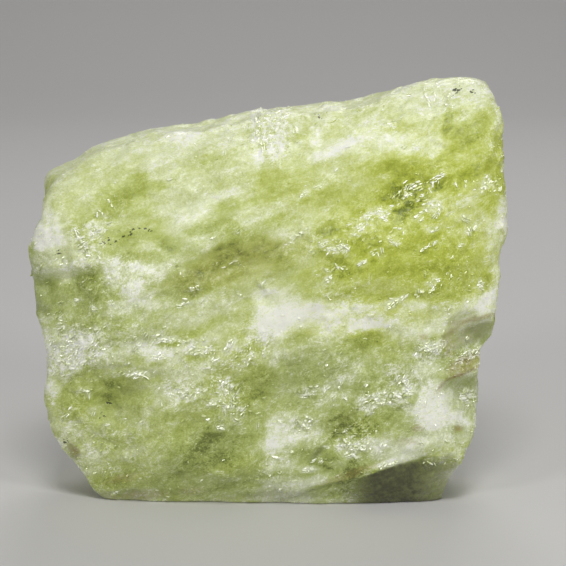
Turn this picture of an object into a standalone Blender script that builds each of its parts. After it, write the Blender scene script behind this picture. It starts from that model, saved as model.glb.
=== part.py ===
"""Raw citrine: one thick chunk of massive, cloudy yellow-green quartz, broken all round,
standing on its lower edge.

The chunk is described by its distance from a point at its heart, for every direction. Its rim
follows the broad outline, and flat faces close the front, the back and the corners. Notches,
conchoidal scoops, chips, ledges and a fine roughness are then taken out of it.
Sizes are millimetres until the mesh is made. +X is right as seen from the front, the front
looks along -Y, and +Z is up.
"""

import bmesh
import bpy
import numpy as np
from mathutils import Vector, noise

MM = 0.001
NAME = "raw_citrine"

# Driving dimensions.
WIDTH = 120.0
THICKNESS = 54.0
HEIGHT = 107.0
HEART = np.array((0.0, 0.0, 50.0))

# The broad outline, as (x, z) points clockwise from the left tip.
OUTLINE = [
    (-58.5, 63.0), (-55.5, 70.0), (-55.0, 80.0), (-49.0, 83.0), (-41.5, 87.0), (-34.5, 89.0),
    (-26.0, 91.2), (-16.5, 92.4), (-7.0, 94.8), (6.0, 96.3), (19.0, 97.6), (28.5, 100.3),
    (39.0, 104.2), (48.0, 104.6), (56.5, 103.0), (59.8, 98.0), (58.6, 87.0), (59.6, 77.5),
    (61.2, 70.5), (59.0, 60.5), (58.0, 49.0), (57.8, 43.0), (54.6, 35.0), (53.6, 25.0),
    (52.2, 17.0), (48.8, 9.0), (46.2, 2.5), (40.2, -5.0), (0.0, -6.0), (-33.0, -5.0),
    (-42.5, 0.5), (-48.5, 8.0), (-54.2, 15.8), (-56.0, 22.5), (-56.4, 29.5), (-56.6, 36.0),
    (-56.8, 43.0), (-58.5, 52.0),
]

# Flat faces: outward direction, and a point that the face passes through.
FACES = {
    "front": ((0.03, -1.00, -0.05), (0, -26, 40)),
    "upper_front": ((-0.04, -0.92, 0.38), (0, -26, 66)),
    "top_front": ((-0.14, -0.62, 0.78), (10, -14, 93)),
    "left_front": ((-0.50, -0.86, 0.00), (-42, -25, 50)),
    "left_lower_front": ((-0.34, -0.90, -0.26), (-44, -25, 34)),
    "right_front": ((0.52, -0.85, 0.06), (47, -24, 66)),
    "right_side": ((0.93, 0.20, 0.10), (59, 0, 70)),
    "lower_right_front": ((0.14, -0.85, -0.49), (25, -23.5, 7.5)),
    "lower_left_front": ((-0.50, -0.66, -0.56), (-48, -20, 8)),
    "lower_front": ((-0.05, -0.78, -0.62), (0, -24, 7)),
    "left_shoulder": ((-0.70, -0.30, 0.64), (-53, -10, 82)),
    "right_shoulder": ((0.62, -0.30, 0.72), (56, -8, 101.5)),
    "back": ((0.10, 0.99, 0.06), (0, 27, 45)),
    "upper_back": ((-0.16, 0.88, 0.44), (0, 25, 78)),
    "top_back": ((-0.10, 0.45, 0.89), (-10, 12, 93)),
    "left_back": ((-0.66, 0.74, 0.10), (-42, 22, 50)),
    "right_back": ((0.78, 0.62, -0.05), (46, 20, 52)),
    "lower_back": ((0.05, 0.86, -0.50), (0, 26, 18)),
    "lower_left_back": ((-0.60, 0.55, -0.58), (-44, 16, 14)),
    "lower_right_back": ((0.50, 0.68, -0.53), (40, 20, 10)),
}
EDGE_CRISPNESS = 44.0

# Notches broken in at an edge: each is the meeting of flat faces that look out of the stone.
NOTCHES = {
    "right_ledge": [((0.30, -0.45, -0.84), (50, -23, 46.5)), ((0.66, -0.74, 0.16), (50, -20, 38))],
    "lower_right_ledge": [((0.34, -0.50, -0.80), (48, -22, 33)), ((0.72, -0.68, 0.12), (49, -18.5, 27))],
    "left_undercut": [((-0.20, -0.62, -0.76), (-51, -20, 60)), ((-0.56, -0.80, 0.20), (-50, -18.8, 54))],
}

# Conchoidal scoops: a point near the skin that they open at, the radius of their curve, their depth.
SCOOPS = {
    "lower_left_hollow": ((-39, -26, 28), 34.0, 2.4),
    "left_neck": ((-56, -10, 36), 22.0, 2.0),
    "centre_hollow": ((18, -26, 17.5), 9.0, 1.3),
    "upper_middle_hollow": ((-8, -26, 62), 34.0, 1.6),
    "upper_right_hollow": ((32, -24, 78), 30.0, 1.8),
    "back_left_hollow": ((-24, 26, 60), 40.0, 4.0),
    "back_right_hollow": ((28, 26, 34), 30.0, 3.5),
    "back_top_hollow": ((14, 22, 86), 26.0, 2.5),
    "top_hollow": ((-34, 4, 90), 22.0, 1.2),
}

# Small chips scattered over the whole skin, with the least and most of their radius and depth.
CHIP_COUNT = 90
CHIP_RADIUS = (7.0, 18.0)
CHIP_DEPTH = (0.35, 1.1)

# Ledges where the quartz parted along its growth bands, which climb to the right.
BAND_NORMAL = np.array((-0.36, 0.28, 0.89))
BAND_SPACING = 15.0
LEDGE_DEPTH = 0.8
LIP_SHARE = 0.14

# Waves and roughness of the skin: the size of their cells, and their height.
SWELL = (30.0, 1.5)
ROUGHNESS = (9.0, 0.75)
NOISE_OFFSET = 17.0
SEED = 11

# The stone is modelled on a box of even cells, about 1.3 mm wide, then reduced to the faces that
# its shape needs.
BOX_CELLS = (92, 40, 80)
KEPT_SHARE = 0.16
REST_SNAP = 0.05
STONE_COLOUR = (0.62, 0.66, 0.30, 1.0)
STONE_ROUGHNESS = 0.45


def clear_scene():
    """Remove every object, so that the file can be run again."""
    for item in list(bpy.data.objects):
        bpy.data.objects.remove(item, do_unlink=True)


def unit(vectors):
    """Vectors of length one."""
    vectors = np.asarray(vectors, dtype=float)
    return vectors / np.linalg.norm(vectors, axis=-1, keepdims=True)


def smooth_outline(points, steps=8):
    """A closed Catmull-Rom curve through the points."""
    ring = np.array(points, dtype=float)
    before, after, beyond = np.roll(ring, 1, 0), np.roll(ring, -1, 0), np.roll(ring, -2, 0)
    curve = []
    for step in range(steps):
        t = step / steps
        curve.append(0.5 * (2 * ring + (after - before) * t
                            + (2 * before - 5 * ring + 4 * after - beyond) * t ** 2
                            + (3 * ring - before - 3 * after + beyond) * t ** 3))
    return np.stack(curve, axis=1).reshape(-1, 2)


def outline_reach(rays):
    """How far the outline lies from the heart, in each ray's direction across the front."""
    curve = smooth_outline(OUTLINE) - HEART[[0, 2]]
    angles = np.arctan2(curve[:, 1], curve[:, 0])
    order = np.argsort(angles)
    reach = np.hypot(curve[:, 0], curve[:, 1])[order]
    return np.interp(np.arctan2(rays[:, 2], rays[:, 0]), angles[order], reach, period=2 * np.pi)


def plane_reach(rays, face):
    """How far along each ray a flat face lies; endless where the ray never meets it."""
    direction, point = face
    normal = unit(direction)
    facing = rays @ normal
    offset = (np.array(point) - HEART) @ normal
    return np.where(facing > 1e-6, offset / np.maximum(facing, 1e-6), np.inf)


def block_reach(rays):
    """The rounded block: the rim and the flat faces, with softly broken edges between them."""
    across = np.hypot(rays[:, 0], rays[:, 2])
    total = (across / outline_reach(rays)) ** EDGE_CRISPNESS
    for face in FACES.values():
        total += (1.0 / plane_reach(rays, face)) ** EDGE_CRISPNESS
    return total ** (-1.0 / EDGE_CRISPNESS)


def notch_reach(rays, faces):
    """A ray passes through a notch until it meets the last of the notch's faces."""
    return np.max([plane_reach(rays, face) for face in faces], axis=0)


def ball_reach(rays, centre, radius):
    """Where each ray enters a ball outside the stone; endless where it misses."""
    towards = rays @ (centre - HEART)
    inside = towards ** 2 - np.sum((centre - HEART) ** 2) + radius ** 2
    entry = towards - np.sqrt(np.maximum(inside, 0.0))
    return np.where((inside > 0) & (towards > 0), entry, np.inf)


def skin_point(reach, target):
    """The point and outward direction of the skin under a target near it."""
    ray = unit(np.array(target, dtype=float) - HEART)
    side = unit(np.cross(ray, (0.3, 0.1, 0.9)))
    rays = unit(np.array([ray, ray + 0.02 * side, ray + 0.02 * np.cross(ray, side)]))
    points = HEART + rays * reach(rays)[:, None]
    normal = unit(np.cross(points[1] - points[0], points[2] - points[0]))
    return points[0], normal * np.sign(normal @ ray)


def scoop_ball(reach, target, radius, depth):
    """The ball whose hollow in the skin has this radius of curve and this depth."""
    point, normal = skin_point(reach, target)
    return point + normal * (radius - depth), radius


def all_scoops(reach):
    """The named hollows, then the chips, as balls that bite into the skin."""
    balls = [scoop_ball(reach, *scoop) for scoop in SCOOPS.values()]
    chance = np.random.default_rng(SEED)
    for direction in unit(chance.normal(size=(CHIP_COUNT, 3)) * (1.0, 0.7, 1.0)):
        target = HEART + direction
        balls.append(scoop_ball(reach, target, chance.uniform(*CHIP_RADIUS), chance.uniform(*CHIP_DEPTH)))
    return balls


def fractal(points, size, octaves):
    """Fractal noise at the points, about -1 to 1."""
    shifted = points / size + NOISE_OFFSET
    return np.array([noise.fractal(Vector(p), 1.0, 2.0, octaves) for p in shifted])


def ledge_depth(points):
    """Low steps along the growth bands, deepest just under each step's lip."""
    place = points @ unit(BAND_NORMAL) / BAND_SPACING + 0.6 * fractal(points, 40.0, 2)
    part = place - np.floor(place)
    slope = np.minimum(part / (1.0 - LIP_SHARE), (1.0 - part) / LIP_SHARE)
    strength = np.clip(0.4 + 1.2 * fractal(points, 24.0, 2), 0.0, 1.0)
    return LEDGE_DEPTH * strength * slope


def stone_reach(rays):
    """The stone's skin along each ray."""
    def notched(some_rays):
        reach = block_reach(some_rays)
        for faces in NOTCHES.values():
            reach = np.minimum(reach, notch_reach(some_rays, faces))
        return reach

    reach = notched(rays)
    for centre, radius in all_scoops(notched):
        reach = np.minimum(reach, ball_reach(rays, centre, radius))
    points = HEART + rays * reach[:, None]
    reach += SWELL[1] * fractal(points, SWELL[0], 2)
    reach += ROUGHNESS[1] * fractal(points, ROUGHNESS[0], 3)
    reach -= ledge_depth(points)
    return reach


def box_grid():
    """A box around the stone, cut into even cells along each axis."""
    grid = bmesh.new()
    bmesh.ops.create_cube(grid, size=2.0)
    for axis, cells in enumerate(BOX_CELLS):
        edges = [e for e in grid.edges if abs(e.verts[0].co[axis] - e.verts[1].co[axis]) > 1e-6]
        bmesh.ops.subdivide_edges(grid, edges=edges, cuts=cells - 1, use_grid_fill=True)
    return grid


def fine_mesh():
    """The box's points moved out onto the stone's skin."""
    grid = box_grid()
    half_size = np.array((WIDTH, THICKNESS, HEIGHT)) / 2
    rays = unit(np.array([v.co for v in grid.verts]) * half_size)
    points = HEART + rays * stone_reach(rays)[:, None]
    for vertex, point in zip(grid.verts, points):
        vertex.co = point
    bmesh.ops.triangulate(grid, faces=grid.faces, quad_method="SHORT_EDGE")
    mesh = bpy.data.meshes.new("fine_skin")
    grid.to_mesh(mesh)
    grid.free()
    return mesh


def reduced(mesh):
    """The mesh with large faces on its flats and small ones along its edges."""
    holder = bpy.data.objects.new("fine_skin", mesh)
    bpy.context.scene.collection.objects.link(holder)
    decimate = holder.modifiers.new("fewer faces", "DECIMATE")
    decimate.ratio = KEPT_SHARE
    depsgraph = bpy.context.evaluated_depsgraph_get()
    result = bpy.data.meshes.new_from_object(holder.evaluated_get(depsgraph))
    bpy.data.objects.remove(holder, do_unlink=True)
    return result


def stone_mesh():
    """The whole skin, cut flat where the stone rests and brought to its real size."""
    skin = bmesh.new()
    skin.from_mesh(reduced(fine_mesh()))
    cut = bmesh.ops.bisect_plane(skin, geom=skin.verts[:] + skin.edges[:] + skin.faces[:],
                                 dist=REST_SNAP, plane_no=(0, 0, -1), clear_outer=True)
    rim = [item for item in cut["geom_cut"] if isinstance(item, bmesh.types.BMEdge)]
    bmesh.ops.contextual_create(skin, geom=rim)
    points = np.array([v.co for v in skin.verts])
    points[np.abs(points[:, 2]) < REST_SNAP * 2, 2] = 0.0
    low, high = points.min(axis=0), points.max(axis=0)
    points = (points - (low + high) / 2 * (1, 1, 0)) * np.array((WIDTH, THICKNESS, HEIGHT)) / (high - low)
    for vertex, point in zip(skin.verts, points):
        vertex.co = Vector(point) * MM
    bmesh.ops.triangulate(skin, faces=skin.faces)
    bmesh.ops.recalc_face_normals(skin, faces=skin.faces)
    mesh = bpy.data.meshes.new(NAME)
    skin.to_mesh(mesh)
    skin.free()
    return mesh


def stone_material():
    """Cloudy yellow-green quartz."""
    material = bpy.data.materials.new("citrine")
    material.use_nodes = True
    shader = material.node_tree.nodes["Principled BSDF"]
    shader.inputs["Base Color"].default_value = STONE_COLOUR
    shader.inputs["Roughness"].default_value = STONE_ROUGHNESS
    shader.inputs["Metallic"].default_value = 0.0
    return material


def make_stone():
    """The whole stone, as one object."""
    stone = bpy.data.objects.new(NAME, stone_mesh())
    stone.data.materials.append(stone_material())
    bpy.context.scene.collection.objects.link(stone)


clear_scene()
make_stone()
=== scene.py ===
"""The raw citrine's looks: its broken, sugary skin and its cloudy yellow-green quartz.

The CAD solid gives the form. A finer copy of it takes the small relief, and values painted on its
points (milky, vivid, dark from smoke and painted shade, stained or sugary) drive one procedural material.
"""

import math
from itertools import chain

import bpy
import numpy as np
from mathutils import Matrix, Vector, noise


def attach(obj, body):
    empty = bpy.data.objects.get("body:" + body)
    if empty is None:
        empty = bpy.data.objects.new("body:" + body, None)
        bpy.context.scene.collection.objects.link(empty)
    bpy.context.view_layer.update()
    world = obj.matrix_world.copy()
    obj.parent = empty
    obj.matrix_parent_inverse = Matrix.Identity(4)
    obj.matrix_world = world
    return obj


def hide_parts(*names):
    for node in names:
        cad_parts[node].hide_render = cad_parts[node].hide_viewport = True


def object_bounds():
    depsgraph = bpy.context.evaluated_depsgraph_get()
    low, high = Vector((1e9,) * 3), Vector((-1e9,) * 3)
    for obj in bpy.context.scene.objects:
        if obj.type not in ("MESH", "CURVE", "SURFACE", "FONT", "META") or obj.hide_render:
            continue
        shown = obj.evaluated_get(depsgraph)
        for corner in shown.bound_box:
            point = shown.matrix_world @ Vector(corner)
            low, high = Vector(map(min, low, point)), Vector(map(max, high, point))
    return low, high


MM = 0.001
NODE = "raw_citrine"
SEED = 5
noise.seed_set(SEED)

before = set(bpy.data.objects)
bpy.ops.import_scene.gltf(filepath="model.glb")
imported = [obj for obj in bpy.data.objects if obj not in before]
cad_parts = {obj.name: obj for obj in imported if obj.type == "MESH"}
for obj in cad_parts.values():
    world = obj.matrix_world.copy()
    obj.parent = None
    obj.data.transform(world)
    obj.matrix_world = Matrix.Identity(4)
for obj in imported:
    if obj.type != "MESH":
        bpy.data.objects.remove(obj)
CAD_LOW, CAD_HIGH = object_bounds()

# The camera stands in front and a little above. Places on the stone's front are given below in
# pixels of a 566-pixel square picture from this camera, x to the right and y down.
PICTURE_SIDE = 566
CAMERA_DISTANCE = 0.60
CAMERA_ELEVATION = math.radians(12.0)
METRES_PER_PIXEL = 0.00025625
AIM = Vector((0.0037, 0.0, 0.0534))
BACK = Vector((0.0, -math.cos(CAMERA_ELEVATION), math.sin(CAMERA_ELEVATION)))
RIGHT = Vector((1.0, 0.0, 0.0))
UP = BACK.cross(RIGHT)
EYE = AIM + BACK * CAMERA_DISTANCE

# The fine skin: its cell in metres and how often it is smoothed. A ridge stands over the skin as it
# is after more rounds, and counts in full from this height in millimetres.
CELL = 0.00068
SMOOTHING_ROUNDS = 3
RIDGE_ROUNDS = 25
RIDGE_HEIGHT = 0.35
# Marks of the front fade out between these depths, in millimetres behind the stone's middle.
FRONT_EDGE = (24.0, 8.0)

# Growth bands climb to the right across the front; their size is in millimetres.
BAND_ALONG = Vector((0.90, 0.15, 0.40)).normalized()
BAND_ACROSS = Vector((-0.36, 0.28, 0.89)).normalized()
BAND_SIZE = np.array((34.0, 9.0, 16.0))
BAND_TILT = math.radians(-24.0)


# ---- numbers on points


def unit(vectors):
    return vectors / np.maximum(np.linalg.norm(vectors, axis=-1, keepdims=True), 1e-12)


def fractal(points, size, octaves=3, offset=0.0):
    """Fractal noise at the points, about -1 to 1; size is the cell's, in the points' unit."""
    shifted = points / size + offset
    return np.array([noise.fractal(Vector(p), 1.0, 2.0, octaves) for p in shifted])


def soft_step(low, high, value):
    """0 at low, 1 at high, and a smooth climb between them; low may be the larger."""
    t = np.clip((value - low) / (high - low), 0.0, 1.0)
    return t * t * (3.0 - 2.0 * t)


def mix(a, b, share):
    return a * (1.0 - share) + b * share


# ---- where things are


def picture_places(points):
    """Pixel coordinates of points in millimetres, as the camera sees them."""
    place = points * MM - np.array(EYE)
    depth = place @ -np.array(BACK)
    reach = CAMERA_DISTANCE / METRES_PER_PIXEL / depth
    x = PICTURE_SIDE / 2 + place @ np.array(RIGHT) * reach
    y = PICTURE_SIDE / 2 - place @ np.array(UP) * reach
    return np.stack((x, y), axis=1)


def band_places(points):
    """The points along the bands, across them and through the stone, in band sizes."""
    through = BAND_ALONG.cross(BAND_ACROSS)
    return points @ np.array((BAND_ALONG, BAND_ACROSS, through)).T / BAND_SIZE


def ellipse(places, x, y, length, width, tilt):
    """1 inside an ellipse on the front, falling softly to 0 at its rim; its tilt is in degrees."""
    turn = math.radians(tilt)
    dx, dy = places[:, 0] - x, y - places[:, 1]
    along = dx * math.cos(turn) + dy * math.sin(turn)
    across = -dx * math.sin(turn) + dy * math.cos(turn)
    return soft_step(1.38, 0.42, np.sqrt((along / length) ** 2 + (across / width) ** 2))


def below_line(places, line):
    """How many pixels each place is below a line on the front, and how many past the line's ends."""
    line = np.array(line, dtype=float)
    below = np.interp(places[:, 0], line[:, 0], line[:, 1])
    past = np.maximum(line[0, 0] - places[:, 0], places[:, 0] - line[-1, 0])
    return places[:, 1] - below, past


# ---- the fine skin


def new_object(name, data):
    added = bpy.data.objects.new(name, data)
    bpy.context.scene.collection.objects.link(added)
    return added


def fine_copy(node):
    """A copy of the CAD stone in even cells."""
    holder = new_object("fine_copy", node.data.copy())
    remesh = holder.modifiers.new("even cells", "REMESH")
    remesh.mode = "VOXEL"
    remesh.voxel_size = CELL
    depsgraph = bpy.context.evaluated_depsgraph_get()
    mesh = bpy.data.meshes.new_from_object(holder.evaluated_get(depsgraph))
    bpy.data.objects.remove(holder, do_unlink=True)
    return mesh


def read_vectors(mesh, kind):
    """The points (co) or the normals (normal) of a mesh, in the mesh's own unit."""
    vectors = np.empty(len(mesh.vertices) * 3)
    mesh.vertices.foreach_get(kind, vectors)
    return vectors.reshape(-1, 3)


def write_points(mesh, points):
    mesh.vertices.foreach_set("co", (points * MM).ravel())
    mesh.update()


def smoothed(mesh, values, rounds):
    """Each point's value moved halfway to its neighbours' mean, a number of times."""
    ends = np.empty(len(mesh.edges) * 2, dtype=int)
    mesh.edges.foreach_get("vertices", ends)
    first, second = ends.reshape(-1, 2).T
    size = len(values)
    neighbours = np.bincount(ends, minlength=size)[:, None]
    for _ in range(rounds):
        totals = [np.bincount(first, column[second], size) + np.bincount(second, column[first], size)
                  for column in values.T]
        values = mix(values, np.stack(totals, axis=1) / neighbours, 0.5)
    return values


# Ledges on the front: the line of each lip, how far the skin drops under it in millimetres, and
# over how many pixels it comes back.
LEDGES = dict(
    lower_right=([(285, 500), (330, 485), (360, 478), (400, 463), (425, 457), (452, 455)], 0.6, 18),
    right_brown=(
        [(446, 336), (453, 330), (461, 325), (470, 321), (480, 320), (490, 316), (498, 309)], 0.5, 20),
    right_ochre=([(448, 366), (465, 357), (486, 345)], 0.45, 14),
    right_lower=([(438, 387), (450, 380), (462, 374), (486, 364)], 0.5, 18),
    left_step=([(33, 275), (46, 278), (62, 277), (90, 271)], 0.4, 30),
    centre_crack=([(311, 459), (325, 446), (340, 424), (362, 404)], 0.55, 14),
    middle_streak=([(160, 292), (200, 274), (240, 262), (300, 236)], 0.3, 22),
    chips_upper=([(372, 200), (392, 190), (412, 184), (440, 176)], 0.4, 9),
    chips_middle=([(384, 216), (404, 205), (430, 203), (446, 196)], 0.4, 9),
    chips_lower=([(360, 236), (384, 228), (410, 226), (436, 214)], 0.35, 9),
    left_hollow_rim=([(52, 396), (66, 380), (90, 368), (124, 364), (156, 372)], 0.35, 26),
    eye_streak=([(128, 352), (150, 338), (176, 336), (205, 344)], 0.25, 8),
    upper_fold=([(60, 222), (110, 214), (160, 216), (205, 208)], 0.25, 20),
)


def ledge_relief(places):
    """How far the skin is lowered by the ledges, in millimetres."""
    relief = np.zeros(len(places))
    for line, drop, back in LEDGES.values():
        below, past = below_line(places, line)
        under = soft_step(-0.8, 1.6, below) * np.exp(-np.maximum(below, 0.0) / back)
        relief -= drop * under * soft_step(8.0, -4.0, past)
    return relief


def broken_grain(points, size, slope):
    """Small flat breaks: each random cell of the skin is tilted its own way."""
    heights = np.empty(len(points))
    for index, point in enumerate(points):
        cell = noise.voronoi(Vector(point / size))[1][0]
        lean = noise.noise_vector(cell * 7.3)
        heights[index] = (Vector(point / size) - cell).dot(lean)
    return heights * size * slope


def small_relief(points, places, front, sugar, flaky):
    """What is too fine for the CAD solid, in millimetres along the skin's normal."""
    relief = ledge_relief(places) * front
    # Swells, fine roughness and two sizes of small breaks.
    relief += 0.14 * fractal(points, 5.0, 3)
    relief += 0.05 * (0.4 + sugar) * fractal(points, 1.8, 2)
    relief += broken_grain(points, 7.0, 0.12)
    relief += broken_grain(points + 31.0, 3.0, 0.10) * (0.5 + 1.5 * sugar + 2.5 * flaky)
    return relief


# ---- painted values

# Soft patches on the front: x, y, half length, half width, tilt, the value there in per cent and,
# where they cover less than fully, how fully. Cloudiness runs from clear olive quartz to milky white.
CLOUD_PATCHES = dict(
    upper_third=[(262, 150, 262, 62, 9, 64, 95)],
    upper_left=[(92, 195, 66, 58, 20, 53, 95)],
    middle=[(235, 300, 150, 60, 14, 53, 90)],
    right_middle=[(410, 240, 112, 66, 14, 36, 90)],
    lower_left=[(120, 420, 92, 80, 20, 49, 90)],
    lower_middle=[(220, 440, 100, 62, 14, 38.5, 90)],
    right_of_middle=[(345, 378, 72, 44, 18, 44, 90)],
    lower_right=[(425, 400, 62, 66, 18, 47, 90)],
    left_middle=[(82, 300, 60, 34, 6, 38, 85)],
    # The upper third.
    top_rim=[(110, 146, 90, 9, 26, 66, 70), (300, 108, 120, 8, 9, 68, 70)],
    top_left_veil=[(178, 142, 36, 18, 14, 90, 80), (219, 122, 15, 10, 10, 84, 80),
        (152, 160, 14, 12, 0, 82, 60)],
    upper_left_marks=[(135, 186, 15, 13, 40, 33, 80), (125, 203, 18, 6, 24, 42, 60),
        (157, 187, 9, 5, -20, 38, 80), (92, 164, 20, 12, 10, 46, 60)],
    left_streak=[(218, 196, 34, 9, 12, 88, 80), (190, 212, 26, 8, 10, 90, 80),
        (248, 178, 10, 26, -6, 78, 60)],
    sparkly=[(269, 131, 17, 26, 0, 93, 85), (257, 128, 5, 26, 0, 98, 90), (317, 134, 7, 24, 4, 94, 90)],
    upper_band=[(362, 145, 62, 11, 7, 81, 90), (328, 156, 26, 7, 18, 90, 70), (426, 143, 30, 9, 4, 84, 80)],
    top_right_veil=[(420, 104, 28, 18, -50, 82, 80), (455, 90, 34, 11, 2, 70, 70),
        (492, 108, 10, 20, 0, 66, 70)],
    upper_middle_green=[(292, 182, 28, 17, 12, 48, 80)],
    upper_right_of_rim=[(345, 116, 34, 12, 4, 58, 70)],
    # The left corner.
    left_slab=[(48, 238, 20, 12, 4, 95, 90), (68, 258, 34, 14, 2, 72, 90)],
    left_chips=[(93, 229, 11, 9, -30, 96, 85)],
    left_blob=[(112, 271, 11, 15, -12, 94, 90), (150, 269, 18, 9, 6, 88, 85)],
    left_patch=[(132, 292, 11, 11, 0, 92, 85), (150, 304, 16, 6, -6, 90, 80),
        (122, 306, 20, 8, 10, 78, 60)],
    left_green=[(140, 234, 24, 6, 6, 42, 80), (167, 241, 14, 9, -16, 21, 95), (196, 229, 16, 5, 6, 30, 75),
        (129, 257, 10, 7, 20, 33, 80), (155, 217, 18, 7, 10, 44, 75), (154, 256, 22, 7, 4, 38, 80),
        (122, 229, 12, 7, 20, 36, 80), (191, 244, 18, 8, 10, 40, 85), (227, 230, 18, 8, 10, 26, 90)],
    left_rim=[(46, 216, 9, 12, 20, 86, 85), (38, 238, 10, 12, 0, 100, 95)],
    below_left_slab=[(55, 273, 18, 9, 0, 76, 90), (80, 284, 20, 7, 10, 32, 60),
        (62, 297, 34, 12, 2, 41, 80)],
    left_spot=[(92, 321, 6, 13, 6, 20, 90), (119, 325, 12, 8, 0, 27, 85)],
    # The middle.
    olive_streak=[(230, 269, 70, 22, 14, 37, 90), (244, 246, 34, 15, 16, 25, 90),
        (276, 255, 23, 12, -12, 25, 90), (184, 284, 30, 16, 26, 25, 95), (216, 276, 24, 12, 16, 36, 80),
        (262, 277, 16, 7, 10, 40, 80)],
    grey_right_of_streak=[(308, 258, 14, 18, 10, 56, 75)],
    central_patch=[(278, 307, 23, 23, -10, 100), (273, 335, 17, 13, 10, 98, 95),
        (304, 314, 22, 11, -4, 92, 90)],
    central_band=[(350, 320, 62, 20, 4, 98), (400, 311, 48, 8, 6, 80, 85)],
    central_patch_sides=[(240, 306, 13, 10, 0, 78, 80), (274, 352, 10, 12, -10, 72, 70)],
    crack_flake=[(230, 346, 10, 5, 50, 92, 85)],
    middle_pale=[(200, 312, 34, 15, 16, 71, 80)],
    # The eye on the left.
    eye_ring=[(160, 349, 33, 13, 2, 100, 97)],
    eye_and_tail=[(164, 347, 17, 4, 2, 50, 80), (202, 348, 20, 6, 8, 88, 80),
        (196, 372, 20, 10, 24, 78, 60)],
    crescent=[(139, 375, 12, 3, -4, 90, 80)],
    sugar_left=[(74, 350, 32, 19, 18, 92, 92)],
    left_neck=[(51, 386, 8, 13, 14, 84, 80)],
    left_rim_low=[(66, 437, 18, 12, 44, 76, 90)],
    # The lower left.
    hollow=[(114, 391, 22, 13, 12, 16, 92), (136, 402, 18, 10, 0, 28, 80), (100, 425, 26, 9, 0, 36, 70)],
    pale_right_of_hollow=[(154, 407, 14, 9, 20, 68, 70)],
    lower_left_pale=[(186, 394, 22, 9, 4, 74, 70), (92, 454, 16, 10, -20, 72, 80),
        (136, 450, 16, 9, 24, 60, 70)],
    foot_left=[(112, 480, 28, 9, 4, 25, 75), (164, 482, 22, 8, 0, 44, 70)],
    olive_low=[(192, 452, 20, 12, 40, 17, 90), (226, 450, 44, 13, 30, 20, 85),
        (212, 428, 14, 12, 30, 17, 85)],
    pale_low_streak=[(152, 462, 26, 6, 28, 52, 60)],
    sugar_cluster=[(232, 403, 18, 14, -38, 64, 70)],
    middle_green=[(250, 392, 16, 10, 0, 30, 70)],
    # Right of the middle.
    olive_under_band=[(362, 343, 27, 10, 18, 13, 95), (314, 356, 26, 10, 12, 36, 85)],
    grey_green=[(316, 376, 34, 11, 8, 29, 80), (366, 385, 12, 12, 20, 30, 70)],
    lower_patch=[(284, 436, 18, 22, -10, 74, 90), (275, 442, 8, 26, 0, 80, 60),
        (304, 430, 16, 12, 0, 72, 80), (286, 464, 18, 13, 0, 68, 80)],
    crack_green=[(350, 412, 26, 11, 24, 33, 92), (352, 432, 18, 9, 30, 24, 90)],
    green_right=[(386, 421, 28, 12, 12, 27, 85)],
    beads=[(367, 405, 10, 10, 0, 88, 80)],
    white_low=[(360, 445, 28, 8, 8, 90, 85)],
    by_crack=[(342, 461, 14, 7, 20, 60, 80), (374, 396, 14, 9, 30, 26, 90)],
    foot_middle=[(296, 484, 44, 7, 12, 78, 80), (313, 469, 12, 5, 10, 92, 80)],
    # The lower right.
    right_blob=[(433, 407, 28, 20, 6, 100, 97), (459, 421, 15, 9, -28, 98, 92),
        (434, 384, 12, 9, 20, 92, 80), (434, 427, 15, 7, 0, 96, 90)],
    right_over_blob=[(423, 370, 15, 11, 30, 86, 85)],
    right_speckle=[(402, 386, 16, 16, 30, 62, 80), (425, 352, 16, 13, 30, 80, 80),
        (390, 352, 12, 9, 20, 32, 70)],
    right_rim_low=[(472, 402, 10, 22, 0, 62, 70)],
    right_facet=[(476, 333, 20, 10, 20, 52, 95), (455, 338, 8, 10, 30, 40, 90),
        (466, 356, 22, 12, 30, 44, 85)],
    ledge=[(404, 448, 54, 10, 8, 84, 95), (388, 464, 22, 4, 20, 92, 80)],
    # The right.
    right_spot=[(487, 301, 9, 13, -14, 98, 92)],
    right_streak=[(393, 301, 14, 4, 26, 94, 85), (430, 284, 14, 3, 38, 82, 70)],
    right_rim=[(504, 215, 7, 26, 0, 84, 85), (496, 257, 10, 36, 4, 74, 85)],
    right_side=[(464, 212, 24, 25, 20, 66, 85), (488, 184, 4, 10, -20, 90, 80),
        (492, 160, 14, 22, 0, 36, 80), (490, 200, 10, 9, 0, 40, 70), (501, 130, 8, 16, 0, 66, 85),
        (500, 183, 8, 14, 0, 30, 85)],
    vivid_by_chips=[(457, 180, 21, 13, 10, 12, 95), (478, 168, 14, 10, 10, 20, 85)],
    chips_right_pale=[(438, 233, 14, 9, 20, 62, 85)],
    vivid_top=[(474, 128, 24, 14, 34, 20, 95), (449, 123, 6, 13, 0, 32, 85)],
    vivid_upper=[(408, 165, 38, 11, 6, 13, 95), (364, 170, 26, 8, 10, 38, 80)],
    vivid_chips=[(410, 193, 34, 19, 24, 6, 95), (400, 212, 15, 9, 60, 6, 95)],
    vivid_inner=[(352, 205, 24, 14, 10, 36, 80)],
    inner_green=[(320, 195, 34, 17, 14, 45, 80), (280, 221, 32, 9, 12, 40, 85),
        (352, 184, 20, 8, 10, 42, 70)],
    chip_patch=[(436, 204, 16, 8, 30, 74, 85), (376, 214, 14, 7, 24, 68, 80)],
    chip_band=[(336, 248, 26, 9, -20, 74, 80)],
    vivid_middle=[(416, 252, 32, 19, 12, 31, 90), (444, 266, 16, 11, 10, 20, 85),
        (376, 286, 32, 11, 10, 44, 85)],
    pale_by_patch=[(326, 288, 15, 8, 0, 62, 80)],
    vivid_low_right=[(440, 296, 30, 9, 12, 34, 80)],
    olive_spot=[(342, 266, 12, 11, 0, 19, 92), (330, 229, 18, 9, 10, 24, 90)],
)

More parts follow.
